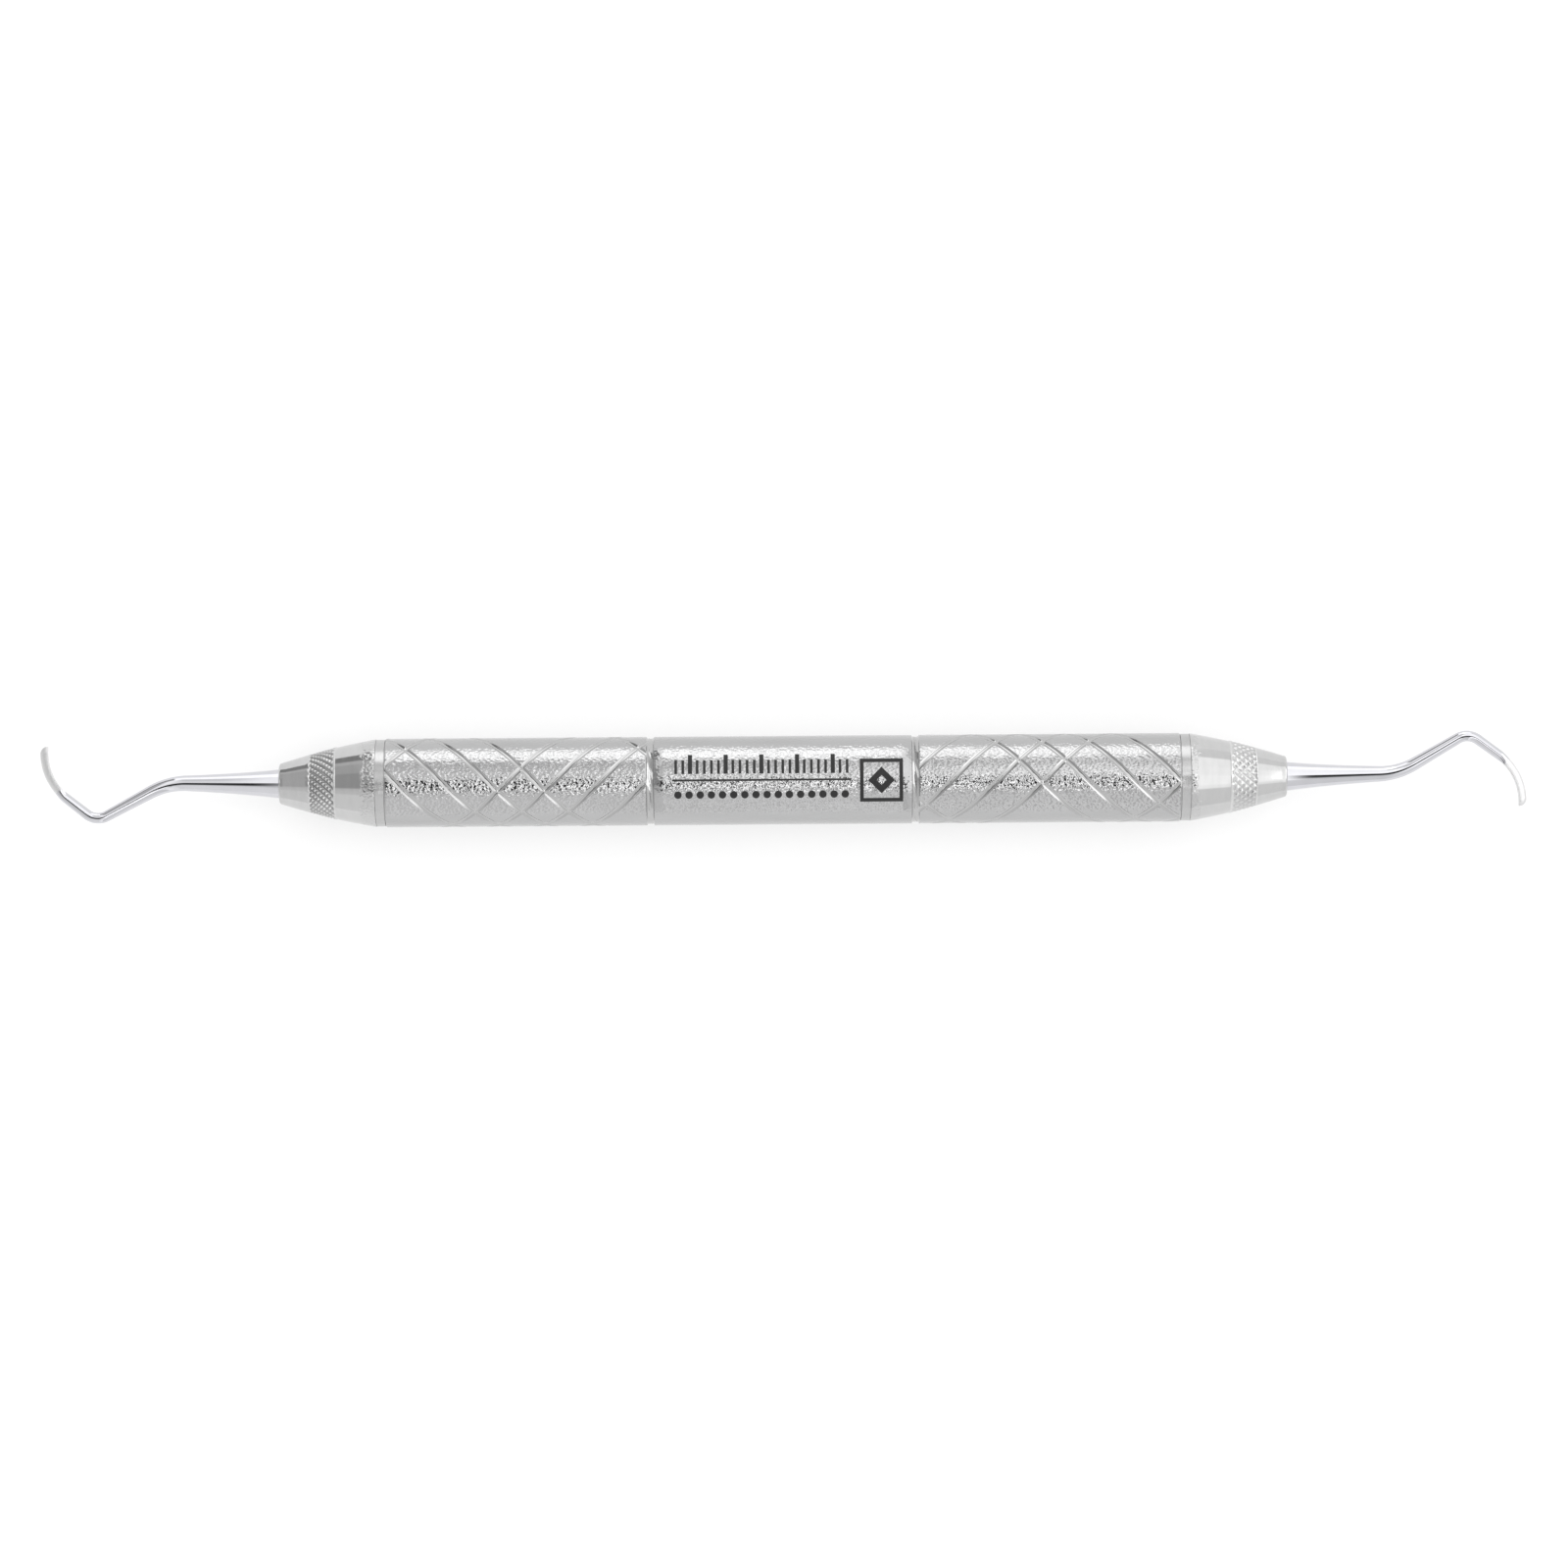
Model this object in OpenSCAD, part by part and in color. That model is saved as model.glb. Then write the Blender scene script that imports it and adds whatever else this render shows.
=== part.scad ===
// Double-ended hand scaler (curette) with a hollow textured handle.
// It lies on a flat surface: X runs along the handle, the bends of both working ends lie level,
// and Z = 0 is the surface that the handle rests on. All lengths are in millimetres.
// Each end screws into the handle on a stud: cone, seal and working end turn as one body,
// and the polished joint ring rides on the cone's spigot.

/* [Handle] */
// Outside diameter of the handle tube
handle_d = 10; // [9:0.1:12]
// Length of the handle tube
handle_len = 89.4; // [80:0.2:110]
// Wall thickness of the handle tube
handle_wall = 1; // [0.8:0.1:1.4]
// Distance of each decorative ring groove from the middle of the handle
ring_groove_x = 14.9; // [8:0.1:25]
// Width of a ring groove
ring_groove_w = 0.88; // [0.4:0.02:1.4]
// Depth of a ring groove
ring_groove_depth = 0.18; // [0.05:0.01:0.4]

/* [Screwed joint] */
// Nominal diameter of the stud's thread
thread_d = 6; // [5:0.5:6]
// Clearance of the stud in the bush, and of the spigot in the tube and the ring
running_gap = 0.05; // [0.02:0.01:0.1]
// Length of the threaded bush inside the tube
bush_len = 9; // [7:0.5:12]
// Depth of the bush inside the mouth of the tube
bush_inset = 2.6; // [2.2:0.1:4]
// Length of thread that is engaged when the end is tight
engaged_len = 7.5; // [5:0.5:8]
// Width of the polished joint ring
joint_ring_w = 1.1; // [0.8:0.1:1.6]
// Outside diameter of the polished joint ring
joint_ring_d = 9.8; // [9:0.1:9.9]
// Thickness of the seal's cord
seal_cord_d = 1; // [0.8:0.1:1.2]

/* [End cone] */
// Length of the cone outside the handle
cone_len = 10.95; // [8:0.05:14]
// Diameter of the cone at the joint ring
cone_base_d = 9.94; // [9:0.02:10]
// Diameter of the cone at its tip
cone_tip_d = 4.5; // [4:0.1:6]
// Slope of the cone's side where it leaves the joint ring
cone_base_slope = 0.17; // [0.1:0.01:0.24]
// Distance of the knurled band's near edge from the tip
knurl_start = 3.4; // [2.5:0.1:5]
// Length of the knurled band
knurl_len = 3.1; // [2:0.1:4]
// Depth of the knurled band below the cone's side
knurl_depth = 0.08; // [0.04:0.01:0.15]

/* [Working end] */
// Diameter of the shank where it leaves the cone
shank_root_d = 3.26; // [2.6:0.02:3.6]
// Diameter that the shank tapers towards
shank_end_d = 0.9; // [0.8:0.02:1.2]
// Length over which most of the taper happens
shank_taper_len = 10.5; // [7:0.5:14]
// Distance from the cone's tip to the first bend
first_bend_u = 12.65; // [10:0.05:15]
// Reach of the second bend along the handle
second_bend_u = 20.65; // [19:0.05:22]
// Reach of the second bend to the side
second_bend_v = 4.4; // [3:0.1:4.6]
// Where the blade's curve starts, along the handle
blade_start_u = 24.05; // [23.5:0.05:25]
// Where the blade's curve starts, to the side
blade_start_v = 1.8; // [1:0.1:2.2]
// Radius of the first bend
first_bend_r = 8.5; // [3:0.5:12]
// Radius of the second bend
second_bend_r = 2.1; // [1:0.1:3]
// Radius of the blade's curve
blade_curve_r = 6.5; // [5:0.1:8]
// Angle that the blade's curve turns through
blade_turn = 59; // [45:1:62]
// Thickness of the blade from its face to its back
blade_thick = 0.86; // [0.7:0.02:1.1]
// Width of the blade across its two cutting edges
blade_w = 1.06; // [0.8:0.02:1.3]
// Length of the rounded toe
toe_len = 0.9; // [0.5:0.1:1.4]
// How far the shanks lean sideways out of line with the handle, left then right, in degrees
lean_left = 0.8; // [0:0.1:1.2]
lean_right = 1.1; // [0:0.1:1.2]

/* [Hidden] */

round_fn = 96;
handle_r = handle_d / 2;
bore_r = handle_r - handle_wall;
stud_bore_r = thread_d / 2;
stud_r = stud_bore_r - running_gap;
spigot_r = bore_r - running_gap;
half_handle = handle_len / 2;
// stations along one end, measured from the middle of the handle
bush_outer_x = half_handle - bush_inset;
bush_inner_x = bush_outer_x - bush_len;
stud_end_x = bush_outer_x - engaged_len;
shoulder_gap = 0.2; // between the bush and the spigot's shoulder when the end is tight
spigot_end_x = bush_outer_x + shoulder_gap;
cone_base_x = half_handle + joint_ring_w;
cone_tip_x = cone_base_x + cone_len;
seal_x = (spigot_end_x + half_handle) / 2;
seal_groove_w = seal_cord_d + 0.1;
seal_gap = 0.03;
seal_mid_r = bore_r - seal_gap - seal_cord_d / 2;
mouth_chamfer = 0.15;
ring_chamfer = 0.05;
stud_chamfer = 0.4;
cone_base_edge = 0.12;
cone_tip_edge = 0.3;
overcut = 1; // how far a cutter reaches past what it cuts
joint_skin = 0.01; // how far chamfer cutters start outside a face

tang_r = 1.5;
tang_len = 8;
sweep_sides = 20;
shank_steps = 56;
blade_steps = 22;
shank_start = 0.001; // keeps the shank's first ring just off the tang's last one
face_depth = 0.85; // how much of the half-round's inner side the blade's flat face takes away, at most 1
blend_share = 0.25; // share of the blade over which the round shank turns into it
toe_end_share = 0.14; // share of the thickness that the toe's end keeps
toe_end_w = 0.25; // share of the width that the toe's end keeps

// Turns a part that is drawn along +Z so that it runs out along -X or +X from the handle's middle
module along(side) translate([0, 0, handle_r]) rotate([0, 90 * side, 0]) children();

// Chamfered tube drawn along +Z from z = low to z = high
module sleeve(low, high, outer_r, inner_r, chamfer)
    difference() {
        translate([0, 0, low]) cylinder(r = outer_r, h = high - low, $fn = round_fn);
        translate([0, 0, low - overcut]) cylinder(r = inner_r, h = high - low + 2 * overcut, $fn = round_fn);
        for (flip = [0, 1])
            translate([0, 0, flip ? high : low]) mirror([0, 0, flip]) translate([0, 0, -joint_skin])
                cylinder(r1 = inner_r + chamfer + joint_skin, r2 = inner_r, h = chamfer + joint_skin,
                    $fn = round_fn);
    }

// Ring-shaped cutter centred on z = 0
module ring_cutter(width, inner_r, outer_r)
    translate([0, 0, -width / 2]) difference() {
        cylinder(r = outer_r, h = width, $fn = round_fn);
        translate([0, 0, -overcut]) cylinder(r = inner_r, h = width + 2 * overcut, $fn = round_fn);
    }

module handle_tube() color([0.78, 0.78, 0.79]) along(1)
    difference() {
        sleeve(-half_handle, half_handle, handle_r, bore_r, mouth_chamfer);
        for (z = [-ring_groove_x, ring_groove_x])
            translate([0, 0, z]) ring_cutter(ring_groove_w, handle_r - ring_groove_depth, handle_r + overcut);
    }

module thread_bush(side) color([0.66, 0.66, 0.67]) along(side)
    sleeve(bush_inner_x, bush_outer_x, bore_r, stud_bore_r, stud_chamfer);

// The ring's bore has the tube's radius, so the spigot turns freely in both
module joint_ring(side) color([0.86, 0.86, 0.87]) along(side)
    sleeve(half_handle, cone_base_x, joint_ring_d / 2, bore_r, ring_chamfer);

module o_ring(side) color([0.12, 0.12, 0.13]) along(side) translate([0, 0, seal_x])
    rotate_extrude($fn = round_fn) translate([seal_mid_r, 0]) circle(d = seal_cord_d, $fn = 32);

// Radius of the cone's side at a distance out from its base: a straight taper with a growing slope
cone_bulge = (cone_base_d / 2 - cone_tip_d / 2 - cone_base_slope * cone_len) / pow(cone_len, 2);
function cone_r(out) = cone_base_d / 2 - cone_base_slope * out - cone_bulge * pow(out, 2);
knurl_high = cone_len - knurl_start;
knurl_low = knurl_high - knurl_len;
function band(low, high, steps, sink) =
    [for (i = [0:steps]) let (z = low + (high - low) * i / steps) [cone_r(z) - sink, z]];

module end_cone(side) color([0.72, 0.72, 0.73]) along(side)
    difference() {
        union() {
            translate([0, 0, cone_base_x]) rotate_extrude($fn = round_fn) polygon(concat(
                [[0, 0], [cone_r(0) - cone_base_edge, 0]],
                band(cone_base_edge, knurl_low, 4, 0),
                band(knurl_low, knurl_high, 3, knurl_depth),
                band(knurl_high, cone_len - cone_tip_edge, 3, 0),
                [[cone_r(cone_len) - cone_tip_edge, cone_len], [0, cone_len]]));
            translate([0, 0, spigot_end_x])
                cylinder(r = spigot_r, h = cone_base_x - spigot_end_x, $fn = round_fn);
            translate([0, 0, stud_end_x + stud_chamfer])
                cylinder(r = stud_r, h = cone_base_x - stud_end_x - stud_chamfer, $fn = round_fn);
            translate([0, 0, stud_end_x])
                cylinder(r1 = stud_r - stud_chamfer, r2 = stud_r, h = stud_chamfer, $fn = round_fn);
        }
        translate([0, 0, seal_x]) ring_cutter(seal_groove_w, seal_mid_r - seal_cord_d / 2, bore_r + overcut);
        translate([0, 0, cone_tip_x - tang_len]) cylinder(r = tang_r, h = tang_len + overcut, $fn = round_fn);
    }

// Centreline of a working end, in its own plane: u runs outward from the cone's tip and v to the side.
// It is two straight legs with rounded corners, then the blade's own curve.
corners = [[0, 0], [first_bend_u, 0], [second_bend_u, second_bend_v], [blade_start_u, blade_start_v]];
bend_r = [first_bend_r, second_bend_r];
function heading(i) = let (d = corners[i + 1] - corners[i]) atan2(d[1], d[0]);
function turn(i) = heading(i + 1) - heading(i);
function trim(i) = i < 0 || i > 1 ? 0 : bend_r[i] * tan(abs(turn(i)) / 2);
function leg_len(i) = norm(corners[i + 1] - corners[i]) - trim(i - 1) - trim(i);
function bend_len(i) = bend_r[i] * abs(turn(i)) * PI / 180;
blade_len = blade_curve_r * blade_turn * PI / 180;
// each run of the centreline is [length, turn in degrees]
runs = [[leg_len(0), 0], [bend_len(0), turn(0)], [leg_len(1), 0], [bend_len(1), turn(1)],
    [leg_len(2), 0], [blade_len, -blade_turn]];
shank_len = leg_len(0) + bend_len(0) + leg_len(1) + bend_len(1) + leg_len(2);
function unit(a) = [cos(a), sin(a)];
// the place and heading after going a distance along one run
function advance(at, run, dist) =
    let (swing = run[1] * dist / run[0], chord = run[1] == 0 ? dist
        : 2 * (run[0] / (run[1] * PI / 180)) * sin(swing / 2))
    [at[0] + chord * unit(at[1] + swing / 2), at[1] + swing];
// the place and heading at arc length s
function centreline(s, i = 0, at = [[0, 0], 0]) =
    s <= runs[i][0] || i == len(runs) - 1 ? advance(at, runs[i], s)
    : centreline(s - runs[i][0], i + 1, advance(at, runs[i], runs[i][0]));

function shank_r(s) = shank_end_d / 2 + (shank_root_d - shank_end_d) / 2 * exp(-max(s, 0) / shank_taper_len);
function smooth(t) = let (c = min(max(t, 0), 1)) c * c * (3 - 2 * c);
// How far the round shank has turned into the blade's section at arc length s
function blade_share(s) = smooth((s - shank_len) / (blend_share * blade_len));
// Share of full size left at arc length s along the rounded toe
function toe_share(s) =
    let (t = max(0, s - shank_len - blade_len + toe_len) / toe_len)
        sqrt(max(pow(toe_end_share, 2), 1 - t * t));

// One ring of the section at arc length s: a circle on the shank, a half-round with a flat face on the blade
function section(s) =
    let (m = blade_share(s), toe = toe_share(s), full = 2 * shank_r(s) * (1 - m) + blade_thick * m,
        thick = full * toe, cut = 1 - face_depth * m, back = thick / (1 + cut),
        half_w = (shank_r(s) * (1 - m) + blade_w / 2 * m) * (toe_end_w + (1 - toe_end_w) * toe))
    [for (k = [0:sweep_sides - 1]) let (a = 360 * k / sweep_sides)
        [max(back * cos(a), -cut * back) + cut * back - full / 2, half_w * sin(a)]];
function ring(s) =
    let (c = centreline(s), n = [-sin(c[1]), cos(c[1])])
    [for (p = section(s)) let (at = c[0] + n * p[0]) [at[0], at[1], p[1]]];
tang_ring =
    [for (k = [0:sweep_sides - 1]) let (a = 360 * k / sweep_sides) [tang_r * cos(a), tang_r * sin(a)]];
rings = concat(
    [for (u = [-tang_len, 0]) [for (p = tang_ring) [u, p[0], p[1]]]],
    [for (i = [0:shank_steps - 1]) ring(shank_start + (shank_len - shank_start) * i / shank_steps)],
    [for (i = [0:blade_steps]) ring(shank_len + blade_len * i / blade_steps)]);

// A closed skin over rings of equal size
module skin(rings) {
    n = len(rings[0]);
    last = len(rings) - 1;
    polyhedron(
        points = [for (r = rings) each r],
        faces = concat(
            [[for (k = [0:n - 1]) k], [for (k = [n - 1:-1:0]) last * n + k]],
            [for (i = [0:last - 1]) for (k = [0:n - 1]) let (a = i * n + k, b = i * n + (k + 1) % n)
                each [[a, a + n, b + n], [a, b + n, b]]]));
}

// side is -1 on the left and 1 on the right; a half turn about the vertical makes one end from the other
module working_end(side, lean) color([0.82, 0.82, 0.83])
    translate([side * cone_tip_x, 0, handle_r]) rotate([0, 0, side > 0 ? lean : 180 - lean]) skin(rings);

module left_thread_bush() thread_bush(-1);
module right_thread_bush() thread_bush(1);
module left_joint_ring() joint_ring(-1);
module right_joint_ring() joint_ring(1);
module left_o_ring() o_ring(-1);
module right_o_ring() o_ring(1);
module left_cone() end_cone(-1);
module right_cone() end_cone(1);
module left_working_end() working_end(-1, lean_left);
module right_working_end() working_end(1, lean_right);

handle_tube();
left_thread_bush();
right_thread_bush();
left_joint_ring();
right_joint_ring();
left_o_ring();
right_o_ring();
left_cone();
right_cone();
left_working_end();
right_working_end();
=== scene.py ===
"""Double-ended hand scaler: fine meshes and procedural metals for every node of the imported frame,
on a pale floor in a soft procedural studio. Lengths are millimetres until a mesh is made."""
from math import acos, atan2, cos, exp, hypot, pi, radians, sin, sqrt, tan

import bmesh
import bpy
import numpy as np
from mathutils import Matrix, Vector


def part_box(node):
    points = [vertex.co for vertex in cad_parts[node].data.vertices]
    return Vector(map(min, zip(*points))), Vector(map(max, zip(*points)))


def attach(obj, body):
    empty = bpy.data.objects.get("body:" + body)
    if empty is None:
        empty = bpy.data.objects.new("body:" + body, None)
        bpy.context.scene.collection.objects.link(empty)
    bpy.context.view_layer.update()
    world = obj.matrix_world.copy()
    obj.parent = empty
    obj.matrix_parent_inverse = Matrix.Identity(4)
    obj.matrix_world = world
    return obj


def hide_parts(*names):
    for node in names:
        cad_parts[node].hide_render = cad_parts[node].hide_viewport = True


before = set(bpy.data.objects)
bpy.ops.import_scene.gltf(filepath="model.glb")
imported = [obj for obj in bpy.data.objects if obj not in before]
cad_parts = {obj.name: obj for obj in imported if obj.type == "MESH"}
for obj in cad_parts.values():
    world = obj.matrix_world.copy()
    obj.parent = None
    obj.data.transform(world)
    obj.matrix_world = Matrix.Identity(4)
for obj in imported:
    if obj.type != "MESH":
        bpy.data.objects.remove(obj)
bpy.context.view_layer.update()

MM = 0.001
SIDES = {"left": -1, "right": 1}

# ---------------------------------------------------------------- places, from the frame


def extent(node):
    """Lowest and highest corner of a CAD node, in millimetres."""
    low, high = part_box(node)
    return np.array(low) / MM, np.array(high) / MM


tube_low, tube_high = extent("handle_tube")
handle_r = (tube_high[2] - tube_low[2]) / 2
axis_z = (tube_high[2] + tube_low[2]) / 2
half_handle = tube_high[0]
bush_low, bush_high = extent("right_thread_bush")
bush_inner_x, bush_outer_x = bush_low[0], bush_high[0]
bore_r = (bush_high[2] - bush_low[2]) / 2
ring_low, ring_high = extent("right_joint_ring")
cone_base_x = ring_high[0]
joint_ring_r = (ring_high[2] - ring_low[2]) / 2
cone_low, cone_high = extent("right_cone")
stud_end_x, cone_tip_x = cone_low[0], cone_high[0]
cone_base_r = (cone_high[2] - cone_low[2]) / 2
seal_low, seal_high = extent("right_o_ring")
seal_x = (seal_low[0] + seal_high[0]) / 2
seal_cord_r = (seal_high[0] - seal_low[0]) / 2
seal_mid_r = (seal_high[2] - seal_low[2]) / 2 - seal_cord_r

# ---------------------------------------------------------------- dimensions that the frame doesn't give

ring_groove_x, ring_groove_w, ring_groove_depth = 14.9, 0.88, 0.18
cone_len = cone_tip_x - cone_base_x
cone_tip_r, cone_base_slope = 2.25, 0.17
knurl_start, knurl_len = 3.4, 3.1       # the knurled band, back from the cone's tip
knurl_high = cone_len - knurl_start     # its two edges, out from the cone's base
knurl_low = knurl_high - knurl_len
thread_pitch, thread_depth = 0.75, 0.43
stud_r, stud_bore_r, spigot_r, spigot_end_x = 2.95, 3.0, 3.95, bush_outer_x + 0.2
tang_r, tang_len = 1.5, 8.0

circumference = 2 * pi * handle_r
groove_step = circumference / 6     # the spiral grooves are indexed in sixths of a turn, at 45 degrees
groove_reach = 0.42                 # half of a groove's width, along the handle
groove_depth = 0.13
# For each textured zone: where the first falling and the first rising groove cross the top line,
# and which sixths of the turn have a groove
ZONES = {
    "left": {"falling": (-38.18, (-1, 0, 1, 2)), "rising": (-30.93, (0, 1, 2, 3))},
    "right": {"falling": (28.64, (0, 1, 2, 3)), "rising": (19.09, (-1, 0, 1, 2))},
}

# how many flat sides each kind of turned mesh has
INNER_SIDES, RING_SIDES, SEAL_SIDES, TUBE_SIDES, CONE_SIDES = 96, 192, 128, 256, 448


def smooth(t):
    """Smooth step from 0 to 1."""
    t = np.clip(t, 0, 1)
    return t * t * (3 - 2 * t)


def steps(low, high, count):
    """Places from low to high, both included."""
    return [low + (high - low) * i / count for i in range(count + 1)]


# ---------------------------------------------------------------- mesh building


class Skin:
    """Points in millimetres with one named value each, and the faces that join them."""

    def __init__(self):
        self.points, self.values, self.faces = [], [], []

    def row(self, points, value=0.0):
        """Adds points and returns their indexes."""
        first = len(self.points)
        self.points += [tuple(p) for p in points]
        self.values += list(np.broadcast_to(value, len(points)))
        return list(range(first, len(self.points)))

    def strip(self, a, b):
        """Joins two closed rows of the same length."""
        n = len(a)
        self.faces += [(a[k], a[(k + 1) % n], b[(k + 1) % n], b[k]) for k in range(n)]

    def strips(self, rows):
        """Joins each closed row to the next one."""
        for a, b in zip(rows, rows[1:]):
            self.strip(a, b)

    def stitch(self, a, b):
        """Joins two closed rows of any lengths, both in order of angle, with triangles."""
        n, m = len(a), len(b)
        i = j = 0
        while i < n or j < m:
            if j == m or (i < n and (i + 1) / n <= (j + 1) / m):
                self.faces.append((a[i % n], a[(i + 1) % n], b[j % m]))
                i += 1
            else:
                self.faces.append((a[i % n], b[(j + 1) % m], b[j % m]))
                j += 1

    def cap(self, row):
        """Closes a row with a fan round its middle."""
        middle = self.row([np.mean([self.points[k] for k in row], axis=0)], self.values[row[0]])[0]
        n = len(row)
        self.faces += [(row[k], row[(k + 1) % n], middle) for k in range(n)]

    def piece(self, name, side, body, node, slot, crease=35):
        """Makes the piece, turns it half round for the left end, and ties it to the frame."""
        points = np.array(self.points) * (side, side, 1) + (0, 0, axis_z)
        mesh = bpy.data.meshes.new(name)
        mesh.from_pydata((points * MM).tolist(), [], self.faces)
        # per-point value: a finish mask, and on the cones the knurl's cut depth, which also sets the painted
        # valley shade
        values = mesh.attributes.new("finish_and_shade", "FLOAT", "POINT")
        values.data.foreach_set("value", np.array(self.values, dtype=np.float32))
        bm = bmesh.new()
        bm.from_mesh(mesh)
        bmesh.ops.recalc_face_normals(bm, faces=bm.faces)
        bm.to_mesh(mesh)
        bm.free()
        mesh.polygons.foreach_set("use_smooth", [True] * len(mesh.polygons))
        mesh.set_sharp_from_angle(angle=radians(crease))
        mesh.materials.append(FINISHES[slot])
        piece = bpy.data.objects.new(name, mesh)
        bpy.context.collection.objects.link(piece)
        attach(piece, body)
        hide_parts(node)


def circle_points(x, radii, angles):
    """Points round the handle's axis: the angle runs from +Y towards +Z, seen from the inside."""
    return np.stack([np.broadcast_to(x, len(angles)), radii * np.cos(angles), radii * np.sin(angles)], axis=1)


def turn_points(x, radii, turns):
    """Points round the handle's axis: the turn runs from the top towards -Y."""
    return np.stack([np.full(len(turns), x), -radii * np.sin(turns), radii * np.cos(turns)], axis=1)


def lathe(skin, profile, count, shape=None, value=0.0, closed=False):
    """Turns a profile of (x, r) round the axis. shape(x, angles) is added to the radius."""
    angles = np.arange(count) * 2 * pi / count
    rows = []
    for x, r in profile:
        radii = np.full(count, float(r))
        if shape:
            radii = radii + shape(x, angles)
        rows.append(skin.row(circle_points(x, radii, angles), value(x, angles) if callable(value) else value))
    skin.strips(rows)
    if closed:
        skin.strip(rows[-1], rows[0])
    return rows


# ---------------------------------------------------------------- handle tube


def groove_lines(first, sixths):
    """Lattice lines over one turn for one hand of grooves: close together across each groove, and
    evenly spread between grooves, 0.4 mm apart or a little more or less."""
    spacing, widest_within_groove = 0.4, 0.25
    shares = (-1.12, -1, -0.8, -0.4, 0, 0.4, 0.8, 1, 1.12)      # of groove_reach
    lines = sorted(first + k * groove_step + groove_reach * share for k in sixths for share in shares)
    spread = []
    for line, following in zip(lines, lines[1:] + [lines[0] + circumference]):
        gap = following - line
        count = max(1, round(gap / spacing)) if gap > widest_within_groove else 1
        spread += [line + gap * i / count for i in range(count)]
    return spread


def groove_sink(place, first, sixths):
    """Depth share of one hand of grooves at a place along its lattice direction: 1 at the bottom of
    a groove, 0 at its edges and below 0 outside."""
    sink = np.full_like(place, -1)
    for k in sixths:
        off = (place - first - k * groove_step + circumference / 2) % circumference - circumference / 2
        sink = np.maximum(sink, 1 - (off / groove_reach) ** 2)
    return sink


def textured_zone(bm, low_x, high_x, falling, rising):
    """Lattice of 45 degree lines round the tube, cut off square at both ends. Across the lattice
    a = x - s and b = x + s, where s is the distance round the tube from the top towards -Y."""
    lines_a, lines_b = groove_lines(*falling), groove_lines(*rising)
    n_a, n_b = len(lines_a), len(lines_b)
    place_a = lambda i: lines_a[i % n_a] + circumference * (i // n_a)
    place_b = lambda j: lines_b[j % n_b] + circumference * (j // n_b)
    grid = {}

    def corner(i, j):
        i, j = i % n_a, j + n_b * (i // n_a)
        if (i, j) not in grid:
            a, b = place_a(i), place_b(j)
            x, turn = (a + b) / 2, (b - a) / 2 / handle_r
            grid[i, j] = bm.verts.new((x, -handle_r * sin(turn), handle_r * cos(turn)))
        return grid[i, j]

    margin = 0.6
    for i in range(n_a):
        a = place_a(i)
        turns = (2 * low_x - 2 * margin - a - lines_b[0]) / circumference
        j = int(np.floor(turns)) * n_b
        while place_b(j) < 2 * high_x + margin - a:
            if place_b(j + 1) > 2 * low_x - margin - a:
                bm.faces.new((corner(i, j), corner(i + 1, j), corner(i + 1, j + 1), corner(i, j + 1)))
            j += 1
    for x, outward in ((low_x, -1), (high_x, 1)):
        bmesh.ops.bisect_plane(bm, geom=bm.verts[:] + bm.edges[:] + bm.faces[:], dist=1e-5,
                               plane_co=(x, 0, 0), plane_no=(outward, 0, 0), clear_outer=True)


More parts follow.
